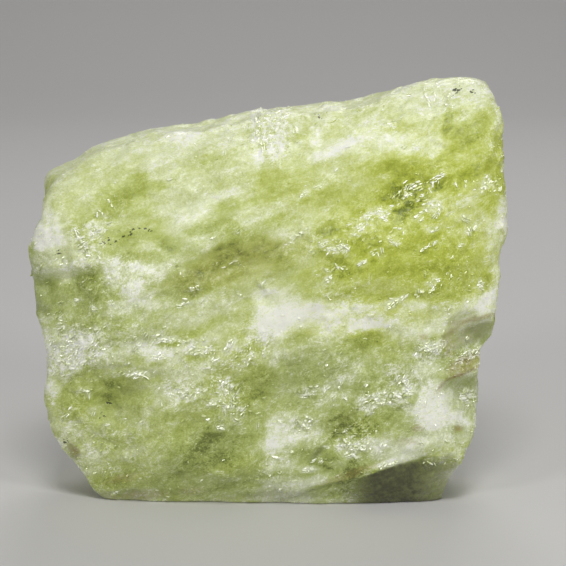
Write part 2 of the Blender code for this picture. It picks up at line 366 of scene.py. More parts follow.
VIVID_PATCHES = dict(
    right_half=[(420, 210, 140, 116, 10, 100)],
    upper_middle=[(300, 180, 90, 44, 8, 66, 90)],
    upper_left=[(110, 190, 80, 54, 10, 54, 90)],
    diagonal=[(236, 262, 90, 34, 24, 42, 90)],
    left_low=[(90, 320, 80, 60, 0, 20, 95)],
    lower_left=[(150, 430, 110, 60, 20, 30, 90)],
    middle_low=[(320, 380, 70, 40, 0, 6, 90)],
    lower_right=[(430, 400, 70, 66, 0, 6, 95)],
    foot=[(250, 486, 110, 16, 2, 2, 90)],
    central_band=[(350, 319, 74, 20, 4, 100)],
    olive_low=[(205, 450, 60, 26, 30, 8, 90)],
    right_facet=[(474, 336, 28, 16, 20, 4)],
    left_side=[(38, 285, 14, 40, 0, 0, 90)],
    ledge_band=[(388, 452, 60, 14, 14, 0, 90)],
)

# Dark smoke in the quartz. The right facets that look down are darkened partly as painted shade.
SMOKE_AND_SHADE_PATCHES = dict(
    right_facets=[(474, 333, 24, 10, 20, 33), (466, 386, 20, 14, 30, 22, 90)],
    left_side=[(34, 282, 9, 30, 0, 14, 90), (44, 306, 9, 12, 20, 55, 80)],
    left_under_step=[(66, 296, 38, 12, 0, 4, 80)],
    left_stain=[(57, 345, 6, 5, 0, 35, 80)],
    corner_notch=[(73, 452, 10, 5, -50, 55, 90)],
    crack=[(345, 428, 14, 6, 40, 26, 80), (318, 453, 10, 4, 48, 45, 90)],
    foot=[(130, 494, 50, 6, 2, 40, 80), (275, 496, 52, 5, 2, 36, 90)],
    olive=[(205, 452, 44, 14, 30, 10, 80), (244, 254, 50, 15, 16, 4, 80)],
    # Beside the lower right facet, with a painted soft shadow above it.
    dark_and_shadow_by_facet=[(449, 468, 9, 14, 10, 62, 70), (416, 452, 18, 5, 0, 32, 80)],
)

IRON_PATCHES = dict(
    olive_streak=[(232, 264, 76, 22, 16, 20)],
    right_facet=[(470, 334, 22, 8, 20, 16)],
    right_edges=[(474, 319, 24, 3, 12, 60), (453, 331, 9, 4, 40, 50), (464, 364, 22, 9, 30, 50),
        (450, 345, 8, 12, 10, 30)],
    right_line=[(462, 374, 24, 2.5, 26, 80)],
    blob_line=[(441, 387, 3, 9, -30, 50)],
    laminated=[(350, 474, 34, 4, 19, 36)],
    right_stains=[(457, 429, 5, 3, 0, 80), (417, 428, 7, 4, 0, 45), (424, 338, 5, 3, 0, 50),
        (408, 442, 16, 4, 0, 25)],
    corner_notch=[(73, 450, 8, 4, -50, 50)],
    foot_stain=[(122, 478, 20, 4, 10, 35), (140, 495, 30, 4, 4, 28), (192, 490, 14, 5, 0, 25)],
)

SUGAR_PATCHES = dict(
    upper_third=[(250, 160, 250, 66, 9, 12, 95)],
    upper_left=[(100, 190, 76, 56, 20, 6, 95)],
    lower_half=[(260, 410, 210, 90, 12, 42, 80)],
    right_half=[(430, 250, 80, 60, 0, 35, 90)],
    left_side=[(74, 350, 40, 24, 18, 100), (86, 236, 22, 16, -30, 80), (112, 212, 20, 12, 30, 50)],
    sparkly_patch=[(270, 134, 20, 30, 0, 80)],
    chips=[(408, 200, 46, 36, 15, 40), (345, 236, 34, 20, 10, 35)],
    central_patch=[(285, 310, 40, 26, 0, 5)],
    upper_band=[(362, 140, 60, 20, 5, 10)],
    cluster=[(226, 395, 28, 22, -38, 90), (186, 392, 24, 12, 0, 70)],
    eye=[(170, 346, 44, 16, 4, 50)],
    middle=[(245, 350, 34, 18, 20, 60)],
    right_speckle=[(400, 380, 34, 26, 20, 80), (430, 352, 24, 16, 20, 70)],
    crack=[(345, 436, 26, 14, 20, 90)],
    beads=[(367, 405, 12, 12, 0, 100)],
    blob=[(438, 406, 26, 18, 0, 15)],
    right_ledges=[(468, 354, 22, 16, 20, 80), (470, 396, 14, 22, 0, 70)],
    foot=[(352, 494, 24, 9, 0, 90)],
    facet=[(432, 463, 12, 5, -6, 100), (410, 482, 44, 14, 6, 30)],
    hollow=[(114, 400, 44, 26, 0, 15, 90)],
)

# Where small white flakes stand in the skin.
FLAKE_PATCHES = dict(
    left_side=[(84, 244, 16, 9, -58, 90), (98, 226, 18, 12, 10, 60), (62, 318, 4, 16, 0, 80),
        (78, 352, 34, 18, 18, 50)],
    eye_and_tail=[(166, 342, 34, 9, 0, 35), (204, 350, 18, 7, 10, 100)],
    crescent=[(138, 375, 14, 4, 0, 90)],
    clusters=[(190, 392, 20, 8, 4, 75), (230, 392, 20, 12, -50, 80), (238, 408, 22, 8, -10, 90)],
    hollow=[(86, 393, 8, 10, -30, 40)],
    middle=[(250, 350, 30, 10, 30, 50)],
    olive=[(235, 262, 60, 10, 22, 25), (196, 287, 8, 5, 0, 80)],
    by_lower_patch=[(305, 392, 16, 8, 0, 80), (298, 424, 16, 10, 20, 70)],
    crack=[(352, 438, 24, 12, 24, 70)],
    beads=[(367, 405, 10, 11, 0, 100)],
    lower_right=[(396, 388, 22, 14, 36, 50), (428, 350, 18, 12, 20, 70), (468, 354, 16, 7, 26, 100),
        (468, 395, 12, 10, 0, 70)],
    facet_glints=[(431, 463, 10, 3, -6, 50)],
    foot=[(338, 492, 14, 10, 0, 25)],
    chips=[(410, 196, 34, 18, 34, 70), (372, 218, 26, 10, 20, 80), (334, 246, 24, 8, 4, 90),
        (372, 240, 24, 10, 10, 60)],
    right_side=[(486, 185, 16, 11, 10, 45), (432, 288, 24, 7, 34, 80)],
    olive_spot=[(340, 268, 8, 6, 0, 70)],
    upper_patches=[(272, 130, 20, 28, 0, 70), (390, 124, 14, 6, 0, 60)],
)

SPECK_PATCHES = dict(
    top_right=[(456, 90, 7, 4, 0, 100), (472, 91, 5, 3.5, 0, 100)],
    upper_needle=[(318, 117, 5, 3, -35, 100)],
    left_row=[(122, 236, 26, 6, 20, 80), (148, 228, 7, 5, 0, 85)],
    left_slab=[(58, 253, 6, 4, 0, 70)],
    hollow=[(102, 415, 4, 4, 30, 100), (109, 402, 4, 6, 30, 100)],
    foot_left=[(65, 441, 4, 3.5, 0, 100)],
)

# Straight borders in the quartz: the cloudiness steps by the change on the right-hand side of the
# way from start to end, and the step fades over a number of pixels.
CLOUD_BORDERS = dict(
    lower_patch=((264, 486), (266, 412), 0.16, 26),
    sparkly_patch=((252, 168), (253, 106), 0.18, 22),
    upper_left_green=((146, 166), (145, 204), -0.14, 16),
    between_patches=((280, 414), (274, 352), 0.1, 9),
    olive_streak=((165, 268), (236, 236), -0.22, 22),
    upper_left_fold=((74, 228), (122, 187), -0.16, 30),
    central_patch=((257, 338), (258, 298), 0.1, 18),
    crack_green=((322, 424), (362, 402), -0.2, 22),
    crack=((310, 460), (338, 428), -0.22, 12),
    left_step=((44, 279), (100, 272), -0.16, 22),
    left_blob=((120, 288), (134, 262), 0.16, 16),
    middle_line=((226, 366), (254, 320), 0.18, 12),
    lower_streak=((160, 488), (206, 432), -0.16, 26),
    right_vivid=((442, 150), (444, 112), -0.14, 20),
    grain=((54, 394), (88, 364), -0.24, 24),
    upper_rise=((262, 214), (258, 168), -0.1, 20),
    right_blob=((413, 418), (420, 388), 0.22, 16),
)


def border_step(places, start, end, change, fade):
    """The step in a value that a straight border makes, tapered past the border's ends."""
    start, end = np.array(start, dtype=float), np.array(end, dtype=float)
    length = np.linalg.norm(end - start)
    way = (end - start) / length
    offset = places - start
    along, aside = offset @ way, offset @ np.array((-way[1], way[0]))
    ends = soft_step(-8.0, 4.0, along) * soft_step(length + 8.0, length - 4.0, along)
    return change * soft_step(-1.0, 1.5, aside) * np.exp(-np.maximum(aside, 0.0) / fade) * ends


def patched(value, places, front, x, y, length, width, tilt, target, cover=100):
    """The value with one patch laid over it, on the front only."""
    share = cover / 100 * front * ellipse(places, x, y, length, width, tilt)
    return mix(value, target / 100, share)


def painted(value, places, patches, front):
    """The value with all the patches of a table laid over it in turn."""
    for patch in chain(*patches.values()):
        value = patched(value, places, front, *patch)
    return value


def sliver_veils(places):
    """How close each point is to a sliver on the front, and to the painted shadow under one."""
    veil, sliver_shadow = np.zeros(len(places)), np.zeros(len(places))
    for x, y, length, width, tilt in chain(*SLIVERS.values()):
        over = ellipse(places, x, y, 0.7 * length + 1.5, 0.8 * width + 1.2, tilt)
        veil = np.maximum(veil, over)
        shadow_y = y + 0.9 * width + 2.2
        under = ellipse(places, x + 1.0, shadow_y, 0.6 * length + 1.5, 0.5 * width + 1.6, tilt)
        sliver_shadow = np.maximum(sliver_shadow, soft_step(14.0, 40.0, length * width) * under)
    return veil, sliver_shadow * (1.0 - veil)


def paint_values(points, places, front, ridge, lit_top):
    """How milky, vivid, dark from smoke and painted shade, stained, sugary, flaky and specked each point
    is.
    """
    bands = band_places(points)
    bands[:, 1] += 0.35 * fractal(points, 30.0, 2, 5.0)
    drift = np.stack((fractal(points, 14.0, 3, 11.0), fractal(points, 14.0, 3, 23.0)), axis=1)
    streaks = bands * 3.6
    fine_drift = np.stack((fractal(streaks, 1.0, 3, 37.0), fractal(streaks, 1.0, 3, 41.0)), axis=1)
    # The rims of patches wander, those of the loose ones furthest.
    loose = places + 5.0 * drift + 5.0 * fine_drift
    tight = places + 2.0 * drift + 1.5 * fine_drift

    cloud = 0.52 + 0.60 * fractal(bands, 1.0, 4, 3.0)
    cloud = painted(cloud, loose, CLOUD_PATCHES, front)
    for border in CLOUD_BORDERS.values():
        cloud += front * border_step(tight, *border)
    cloud += 0.16 * fractal(bands * 2.6, 1.0, 4, 9.0) + 0.10 * ridge
    # Skin that faces up is painted paler, a painted highlight where the top takes the light.
    cloud = mix(cloud, 0.85, 0.6 * lit_top)
    veil, sliver_shadow = sliver_veils(tight)
    # A milky veil round each sliver, and a painted shadow under the bigger ones.
    cloud = mix(cloud, 0.90, 0.38 * veil * front) - 0.20 * sliver_shadow * front
    stains = np.clip(1.6 * fractal(bands * 1.7, 1.0, 4, 19.0) - 0.95, 0.0, 0.6) * (1.0 - front)
    smoke = np.clip(0.5 * fractal(points, 26.0, 3, 15.0) - 0.1, 0.0, 0.5) * (1.0 - 0.7 * front)
    grain = 0.32 + 0.6 * fractal(points, 14.0, 3, 27.0)
    loose_vivid = 0.45 + 0.5 * fractal(points, 40.0, 2, 7.0)
    back_flakes = np.clip(grain - 0.25, 0.0, 1.0) * (1.0 - 0.8 * front)
    values = {
        "cloud": cloud,
        "vivid": painted(loose_vivid, loose, VIVID_PATCHES, front),
        "smoke_and_shade": painted(smoke, tight, SMOKE_AND_SHADE_PATCHES, front),
        "iron": painted(stains, tight, IRON_PATCHES, front),
        "sugar": painted(grain, loose, SUGAR_PATCHES, front) + 0.25 * ridge,
        "flaky": painted(back_flakes, tight, FLAKE_PATCHES, front),
        "speck": painted(np.zeros(len(points)), places, SPECK_PATCHES, front),
    }
    # Under the lower right ledge the broken face is clear and dark, and painted darker still as shade of a
    # face that looks down.
    below, past = below_line(tight, LEDGES["lower_right"][0])
    spread = 3.0 + 9.0 * soft_step(400.0, 450.0, tight[:, 0])
    facet = soft_step(0.0, 1.0, below / spread + 0.15) * soft_step(14.0, -14.0, past) * front
    facet *= soft_step(328.0, 378.0, tight[:, 0]) * (1.0 - 0.42 * soft_step(402.0, 446.0, tight[:, 0]))
    values["smoke_and_shade"] = np.maximum(values["smoke_and_shade"], facet)
    values["cloud"] = mix(values["cloud"], 0.25, facet * 0.8)
    values["vivid"] = mix(values["vivid"], 0.0, facet)
    return {name: np.clip(value, 0.0, 1.0) for name, value in values.items()}


def in_box(points):
    return np.clip(points, np.array(CAD_LOW) / MM, np.array(CAD_HIGH) / MM)


def link_piece(name, mesh, values, material):
    """The mesh as a piece, with the painted values on its points."""
    for value_name, value in values.items():
        attribute = mesh.attributes.new(value_name, "FLOAT", "POINT")
        attribute.data.foreach_set("value", value.astype(np.float32))
    mesh.materials.clear()
    mesh.materials.append(material)
    return new_object(name, mesh)


def make_skin(node, material):
    """The visible stone: the CAD solid's form with the small relief and the painted values."""
    mesh = fine_copy(node)
    mesh.name = "citrine_skin"
    points = smoothed(mesh, read_vectors(mesh, "co") / MM, SMOOTHING_ROUNDS)
    write_points(mesh, points)
    places = picture_places(points)
    front = soft_step(*FRONT_EDGE, points[:, 1])
    normals = read_vectors(mesh, "normal")
    sunk = points - smoothed(mesh, points, RIDGE_ROUNDS)
    ridge = np.clip(np.einsum("ij,ij->i", sunk, normals) / RIDGE_HEIGHT, -1.0, 1.0)
    # How far the skin faces up, which takes a painted highlight.
    lit_top = soft_step(0.45, 0.85, normals[:, 2])
    values = paint_values(points, places, front, ridge, lit_top)
    relief = small_relief(points, places, front, values["sugar"], values["flaky"])
    resting = soft_step(0.2, 2.0, points[:, 2])[:, None]
    points = in_box(points + normals * relief[:, None] * resting)
    write_points(mesh, points)
    mesh.shade_smooth()
    return link_piece("citrine_stone", mesh, values, material), values


# ---- flakes

# Bright slivers on the front, group by group: x, y, length, width and tilt.
SLIVERS = dict(
    chips=[(415, 185, 15, 5, 32), (405, 197, 10, 3.5, 42), (409, 194, 9, 3, -18), (437, 178, 16, 5, 33),
        (433, 184, 6, 3, 62), (422, 189, 5, 2, 50), (430, 190, 7, 2, -72), (422, 196, 4, 3, 10),
        (418, 200, 4, 2, 60), (404, 183, 6, 1.6, 28), (391, 206, 5, 2.6, 0), (399, 205, 4, 2, 35),
        (426, 203, 7, 2, 28)],
    chip_patch=[(440, 206, 10, 5, -62), (437, 214, 9, 5, 55), (431, 206, 9, 3, 28), (424, 211, 9, 3.5, 36),
        (417, 217, 6, 3, 45), (421, 220, 6, 2.4, 28)],
    left_of_chips=[(374, 213, 8, 4, 36), (369, 216, 6, 4, 34), (379, 210, 6, 3, -20),
        (383, 214, 8, 3.4, -38), (384, 219, 8, 3.4, -50), (360, 227, 9, 6, 42), (354, 234, 7, 3, 0),
        (374, 252, 8, 5, 28), (383, 251, 6, 2.5, -62), (378, 255, 5, 2, -40), (393, 242, 11, 2.6, -28),
        (403, 233, 4, 1.8, 80), (362, 263, 9, 4, 24), (366, 261, 4, 2, 60), (340, 268, 8, 2.6, -12),
        (336, 265, 5, 2, -30)],
    right_of_chips=[(425, 248, 12, 2.6, 34), (434, 243, 5, 2.4, 50), (434, 230, 10, 4, 24),
        (465, 219, 8, 6, -32), (474, 228, 7, 3.6, 52), (469, 231, 9, 4, 84), (461, 245, 5, 3, 30),
        (452, 257, 5, 2, 20), (486, 184, 13, 4.6, 60), (466, 184, 8, 2.4, 84), (456, 185, 5, 2.4, -62),
        (398, 228, 8, 3, -10)],
    vivid_foot=[(439, 280, 5, 2.4, 10), (434, 286, 7, 2.4, 66), (431, 290, 7, 2, 40), (418, 293, 8, 3, 66),
        (393, 304, 13, 4.4, 30), (405, 297, 9, 2.4, 28), (449, 308, 6, 2.4, 60), (446, 310, 5, 2, 0),
        (446, 320, 4, 3, 0), (480, 284, 7, 5, 50), (443, 332, 6, 2.4, 40)],
    chip_band=[(325, 244, 10, 4, 20), (334, 248, 12, 3, 4), (341, 246, 9, 2.6, 8), (347, 248, 6, 2, -20),
        (329, 279, 8, 5, 40), (326, 270, 6, 3, -30)],
    upper=[(318, 187, 10, 2.6, 6), (247, 128, 8, 3, 70), (224, 153, 5, 4, 90), (256, 136, 12, 7, 85),
        (259, 122, 14, 7, 88), (263, 145, 12, 5, -70), (296, 130, 7, 5, -40), (304, 195, 8, 4, 30),
        (336, 170, 6, 2, 40), (389, 124, 5, 3.6, 0), (366, 122, 4, 2, 80), (373, 138, 12, 1.8, 0),
        (385, 137, 5, 2, 60), (394, 133, 6, 3, 30), (404, 147, 5, 5, 50), (416, 146, 7, 4, 20),
        (433, 155, 4, 3, 80)],
    needles=[(435, 97, 9, 2, 82), (424, 93, 12, 3, 70), (430, 104, 9, 2, 70), (428, 99, 10, 2, -60),
        (441, 101, 9, 2.4, 50), (450, 96, 7, 4, 40), (446, 107, 8, 2, 60), (453, 107, 6, 3, 0),
        (439, 86, 6, 3, 30), (411, 95, 9, 3, 10)],
    left_corner=[(91, 224, 4, 3, 20), (94, 229, 5, 4, 0), (93, 234, 5, 3, 80), (101, 226, 8, 4, 80),
        (104, 230, 6, 3, 80), (107, 224, 7, 3, -30), (76, 231, 8, 4, -50), (80, 238, 8, 4, -50),
        (84, 243, 7, 4, -55), (88, 250, 7, 3, -60), (92, 256, 5, 4, -50), (98, 257, 4, 4, 80),
        (110, 203, 9, 2, -55), (101, 212, 8, 2, -50), (97, 214, 6, 2, -50)],
    olive=[(234, 262, 10, 2, 26), (224, 267, 6, 1.6, 30), (300, 234, 9, 3, 30), (307, 230, 6, 3, 30),
        (292, 241, 9, 2, 30), (284, 246, 7, 1.8, 30), (214, 238, 5, 2, 20), (203, 238, 6, 1.6, 10),
        (263, 284, 6, 2.4, 30), (240, 294, 7, 1.6, -10), (184, 299, 6, 1.6, 0), (202, 300, 5, 1.6, 30)],
    left_middle=[(195, 287, 9, 3.4, 28), (181, 273, 5, 2, 85), (186, 303, 9, 2.4, 14),
        (180, 306, 6, 2.4, 10), (113, 303, 7, 2.4, -60), (77, 299, 7, 2, 0), (94, 309, 5, 2.4, -30),
        (61, 319, 3, 3, 0), (64, 327, 4, 3, -70)],
    left_grain=[(72, 335, 5, 4, 70), (90, 358, 4, 3, 0), (78, 346, 6, 3, 0), (65, 348, 7, 6, 0),
        (93, 354, 5, 4, 50), (104, 349, 5, 2, 10), (100, 336, 6, 2, 85), (96, 328, 5, 3, 0),
        (82, 366, 8, 2, 50), (70, 374, 5, 2, 40), (84, 363, 6, 2, 60)],
    eye=[(148, 336, 5, 3, 50), (145, 340, 8, 3, 40), (137, 346, 9, 4, 40), (138, 352, 8, 4, -30),
        (157, 357, 16, 5, 4), (170, 340, 12, 3, 0), (160, 340, 12, 3, 10), (176, 353, 6, 2.4, 20),
        (158, 334, 4, 2, 30), (182, 341, 9, 2.4, -10)],
    eye_tail=[(194, 346, 5, 3, -60), (197, 350, 8, 2, 10), (193, 353, 10, 3, 0), (200, 353, 9, 2, 0),
        (207, 347, 12, 2.6, 6), (190, 350, 6, 2, 30), (229, 345, 12, 5, 60), (216, 358, 10, 3.5, 30)],
    crescent=[(136, 374, 12, 1.6, 8), (143, 375, 8, 1.6, -22), (131, 376, 5, 1.6, 10),
        (147, 377, 4, 1.6, -30)],
    hollow=[(87, 391, 8, 2, -18), (89, 396, 5, 1.6, -50), (81, 389, 3, 2, 60), (66, 415, 7, 2.4, 16),
        (70, 408, 4, 2, 40), (93, 413, 4, 3, 70), (107, 424, 5, 3, 0)],
    cluster_left=[(172, 395, 8, 2.6, 2), (183, 395, 7, 4, 50), (190, 394, 6, 3, 60),
        (187, 391, 4, 2.4, -30), (200, 391, 8, 2, 30), (196, 395, 6, 2, 40), (205, 391, 5, 2, 40),
        (162, 404, 5, 1.6, -70), (158, 401, 4, 1.6, 40)],
    cluster=[(224, 383, 8, 2, 10), (232, 387, 5, 3, 50), (226, 391, 6, 1.6, -30), (212, 404, 10, 3, -10),
        (222, 399, 7, 2, 20), (226, 406, 8, 3, -25), (233, 395, 5, 1.6, -60), (234, 402, 6, 2, -50),
        (243, 408, 6, 2, 40), (242, 412, 6, 2, -50), (236, 419, 6, 2, -50), (220, 427, 7, 5, 0),
        (225, 411, 7, 3, -70), (209, 419, 5, 2, 0)],
    middle=[(253, 353, 4, 3, 80), (264, 355, 8, 2.4, -70), (276, 356, 6, 3, -60), (306, 393, 5, 4, 80),
        (311, 393, 6, 2.4, 40), (303, 398, 6, 1.8, 14), (340, 385, 7, 3, 64), (326, 388, 8, 3, 40),
        (333, 396, 5, 4, 50), (344, 397, 8, 3, -50), (322, 400, 4, 3, 0)],
    lower_patch=[(275, 421, 6, 3, 10), (280, 421, 7, 2.4, -20), (294, 426, 4, 4, 80),
        (303, 425, 12, 3.4, -38), (309, 417, 9, 2.4, -26), (258, 425, 5, 2.4, 88)],
    right_top=[(424, 346, 10, 5, 12), (427, 349, 7, 3, 0), (443, 344, 9, 4, 48)],
    right_ledges=[(462, 358, 7, 4, 20), (471, 354, 10, 1.6, 52), (474, 356, 10, 1.6, 50),
        (478, 350, 10, 3, 44), (483, 348, 9, 4, 52), (481, 353, 7, 3, -20), (466, 338, 4, 3, 60),
        (456, 361, 8, 1.6, 80), (461, 363, 5, 2, 80)],
    right_speckle=[(408, 382, 4, 2.6, 80), (404, 381, 4, 1.8, -60), (407, 386, 6, 2, -50),
        (410, 392, 7, 5, 0), (399, 395, 12, 1.6, -48), (403, 397, 12, 1.6, -48), (395, 394, 10, 1.6, -46),
        (392, 398, 9, 1.6, -48), (385, 392, 6, 3, 60), (378, 397, 7, 3, 40), (383, 402, 5, 3, 50),
        (397, 378, 6, 5, 60), (366, 384, 4, 3, 40), (371, 409, 5, 3, 70), (368, 412, 6, 4, 40),
        (377, 402, 4, 3, 0)],
    right_rim=[(472, 395, 6, 4, 60), (468, 398, 5, 3, -40), (465, 390, 5, 4, 60), (462, 393, 4, 2, 40)],
    crack=[(345, 440, 8, 2, -40), (349, 445, 9, 2, 40), (353, 450, 8, 2, -30), (357, 447, 8, 4, 10),
        (362, 447, 7, 5, 0), (350, 455, 10, 5, 10), (357, 457, 7, 2, -10), (341, 444, 7, 2, 0),
        (339, 448, 6, 2, 50), (326, 447, 7, 2.4, -12), (352, 436, 5, 4, 60), (345, 431, 5, 2, 30),
        (368, 442, 4, 3, 40), (314, 460, 6, 3, 20), (321, 461, 4, 4, 60), (308, 470, 11, 4, 20),
        (376, 451, 5, 3, 60), (383, 445, 7, 4, 20)],
    ledge_lip=[(382, 466, 9, 3.4, 30), (394, 463, 8, 3, 24), (388, 465, 7, 2, 20), (421, 443, 8, 3, -20)],
    facet_glints=[(430, 462, 6, 1.4, -14), (424, 463, 3, 1.2, 40), (435, 464, 3, 1.2, -40),
        (445, 463, 2, 1.2, 0)],
)

# A sliver is rows of small ribs, a little out of line, of about this size in pixels.
RIB_LENGTH = 4.4
RIB_WIDTH = 1.5
# The size in millimetres of the loose flakes, and how deep flakes root and how high they stand.
FLAKE_SIDES = 5
FLAKE_LENGTH = 0.75
FLAKE_WIDTH_SHARE = 0.32
FLAKE_ROOT = 0.25
FLAKE_LIFT = 0.03
HIGHEST_FLAKE = 0.6
# The way that the flakes face wherever the skin faces near it, and how far up they turn elsewhere.
CLEAVAGE = np.array((0.01, -0.83, 0.56))
SKYWARD = 0.5
# How much the facings scatter, and between which limits the milkiness of the flakes lies.
PLACED_SCATTER = 0.05
LOOSE_SCATTER = 0.15
PLACED_CLOUD = (0.62, 0.86)
LOOSE_CLOUD = (0.30, 0.92)


def flake_outlines(length, width, dice):
    """Long five-sided outlines: each corner's place along and across its flake."""
    shape = (len(length), FLAKE_SIDES)
    turns = (np.arange(FLAKE_SIDES) + dice.uniform(-0.25, 0.25, shape)) * 2 * math.pi / FLAKE_SIDES
    reach = dice.uniform(0.75, 1.15, shape)
    return np.cos(turns) * reach * length[:, None] / 2, np.sin(turns) * reach * width[:, None] / 2


def split_slivers(dice):
    """The slivers on the front as rows of ribs: x, y, length, width and turn."""
    ribs = []
    for x, y, length, width, tilt in chain(*SLIVERS.values()):
        columns, rows = max(1, round(length / RIB_LENGTH)), max(1, round(width / RIB_WIDTH))
        turn = math.radians(tilt)
        for column, row in np.ndindex(columns, rows):
            along = ((column + 0.5) / columns - 0.5) * length + dice.normal(0.0, 0.6)
            aside = ((row + 0.5) / rows - 0.5) * width + dice.normal(0.0, 0.4)
            ribs.append((
                x + along * math.cos(turn) + aside * math.sin(turn),
                y - along * math.sin(turn) + aside * math.cos(turn),
                length / columns * dice.uniform(0.9, 1.4), width / rows * dice.uniform(0.6, 1.1),
                turn + dice.normal(0.0, 0.25)))
    return np.array(ribs)


def on_skin(skin, x, y):
    """Whether and where the camera's ray through a pixel meets the skin, and its normal and face."""
    aside = (x - PICTURE_SIDE / 2) * METRES_PER_PIXEL
    above = (PICTURE_SIDE / 2 - y) * METRES_PER_PIXEL
    return skin.ray_cast(EYE, RIGHT * aside + UP * above - BACK * CAMERA_DISTANCE)


def placed_flakes(skin, dice):
    """The ribs of the slivers on the skin: rim points, and a near skin point for each flake."""
    ribs = split_slivers(dice)
    along, across = flake_outlines(ribs[:, 2], ribs[:, 3], dice)
    turn = ribs[:, 4:5]
    across_picture = ribs[:, 0:1] + along * np.cos(turn) - across * np.sin(turn)
    down_picture = ribs[:, 1:2] - along * np.sin(turn) - across * np.cos(turn)
    rims, near = [], []
    for corners in zip(across_picture, down_picture):
        hits = [on_skin(skin, x, y) for x, y in zip(*corners)]
        if all(hit[0] for hit in hits):
            rims.append([hit[1] / MM for hit in hits])
            near.append(skin.data.polygons[hits[0][3]].vertices[0])
    return np.array(rims), np.array(near)


def loose_flakes(points, normals, values, dice):
    """Small flakes all over, as placed_flakes gives them, thick in flaky and sugary places."""
    chance = 0.020 + 0.12 * values["sugar"] ** 2 + 0.65 * values["flaky"] ** 1.3
    chance *= soft_step(0.6, 0.3, values["smoke_and_shade"]) * soft_step(1.0, 2.5, points[:, 2])
    near = np.flatnonzero(dice.random(len(points)) < chance)
    count = len(near)
    centres = points[near] + dice.normal(0.0, 0.05, (count, 3))
    normals = normals[near]
    way = unit(np.array(BAND_ALONG) - normals * (normals @ np.array(BAND_ALONG))[:, None])
    side = np.cross(normals, way)
    turn = (0.9 * fractal(centres, 7.0, 2, 51.0) + dice.normal(0.0, 0.30, count))[:, None]
    way, side = way * np.cos(turn) + side * np.sin(turn), side * np.cos(turn) - way * np.sin(turn)
    length = FLAKE_LENGTH * (0.6 + 0.4 * values["flaky"][near]) * np.exp(dice.normal(0.0, 0.5, count))
    width = length ** 0.7 * FLAKE_WIDTH_SHARE * np.exp(dice.normal(0.0, 0.25, count))
    along, across = flake_outlines(length, width, dice)
    return centres[:, None] + along[..., None] * way[:, None] + across[..., None] * side[:, None], near


def flake_facings(normals, scatter, dice):
    """Which way each flake's face looks, with some scatter."""
    share = soft_step(0.45, 0.75, normals @ CLEAVAGE)[:, None]
    facings = mix(unit(normals + (0.0, 0.0, SKYWARD)), CLEAVAGE, share)
    return unit(facings + dice.normal(0.0, 1.0, normals.shape) * scatter[:, None])


def flake_corners(rims, normals, facings):
    """Corners of the flakes: their lifted rims, the same rims sunk in the skin, their crowns."""
    reach = rims - rims.mean(axis=1, keepdims=True)
    slope = np.einsum("ijk,ik->ij", reach, facings)
    lift = -slope / np.maximum(np.einsum("ij,ij->i", normals, facings), 0.5)[:, None]
    lift -= lift.min(axis=1, keepdims=True)
    highest = HIGHEST_FLAKE * (0.12 + 0.88 * soft_step(0.3, 0.7, normals @ np.array(BACK)))[:, None]
    lift = FLAKE_LIFT + lift * np.minimum(1.0, highest / np.maximum(lift.max(axis=1, keepdims=True), 0.01))
    top = rims + lift[..., None] * normals[:, None]
    root = rims - FLAKE_ROOT * normals[:, None]
    crown = top.mean(axis=1, keepdims=True) + 0.5 * FLAKE_LIFT * normals[:, None]
    return in_box(np.concatenate((top, root, crown), axis=1))


def flake_faces(count):
    corners = 2 * FLAKE_SIDES + 1
    faces = []
    for first in range(0, count * corners, corners):
        root = first + FLAKE_SIDES
        crown = root + FLAKE_SIDES
        for k in range(FLAKE_SIDES):
            following = (k + 1) % FLAKE_SIDES
            faces.append((first + k, first + following, crown))
            faces.append((root + k, root + following, first + following, first + k))
        faces.append(tuple(root + k for k in reversed(range(FLAKE_SIDES))))
    return faces


def make_flakes(skin, values, material):
    """Small broken flakes that stand in the skin: those of the slivers first, then the loose ones."""
    dice = np.random.default_rng(SEED)
    normals = read_vectors(skin.data, "normal")
    placed = placed_flakes(skin, dice)
    loose = loose_flakes(read_vectors(skin.data, "co") / MM, normals, values, dice)
    rims, near = (np.concatenate(pair) for pair in zip(placed, loose))
    count = len(placed[0])
    scatter = np.where(np.arange(len(rims)) < count, PLACED_SCATTER, LOOSE_SCATTER)
    corners = flake_corners(rims, normals[near], flake_facings(normals[near], scatter, dice))
    mesh = bpy.data.meshes.new("citrine_flakes")
    mesh.from_pydata((corners.reshape(-1, 3) * MM).tolist(), [], flake_faces(len(rims)))
    looks = {name: value[near] for name, value in values.items()}
    bright = 0.25 * looks["flaky"] + dice.normal(0.08, 0.16, len(rims))
    looks["cloud"] = np.clip(looks["cloud"] + bright, *LOOSE_CLOUD)
    placed_cloud = dice.uniform(*PLACED_CLOUD, count)
    looks["cloud"][:count] = placed_cloud + 0.12 * looks["vivid"][:count]
    looks["smoke_and_shade"] *= 0.8
    looks["smoke_and_shade"][:count] = 0.0
    per_corner = {name: np.repeat(value, 2 * FLAKE_SIDES + 1) for name, value in looks.items()}
    return link_piece("citrine_flakes", mesh, per_corner, material)


# ---- the material


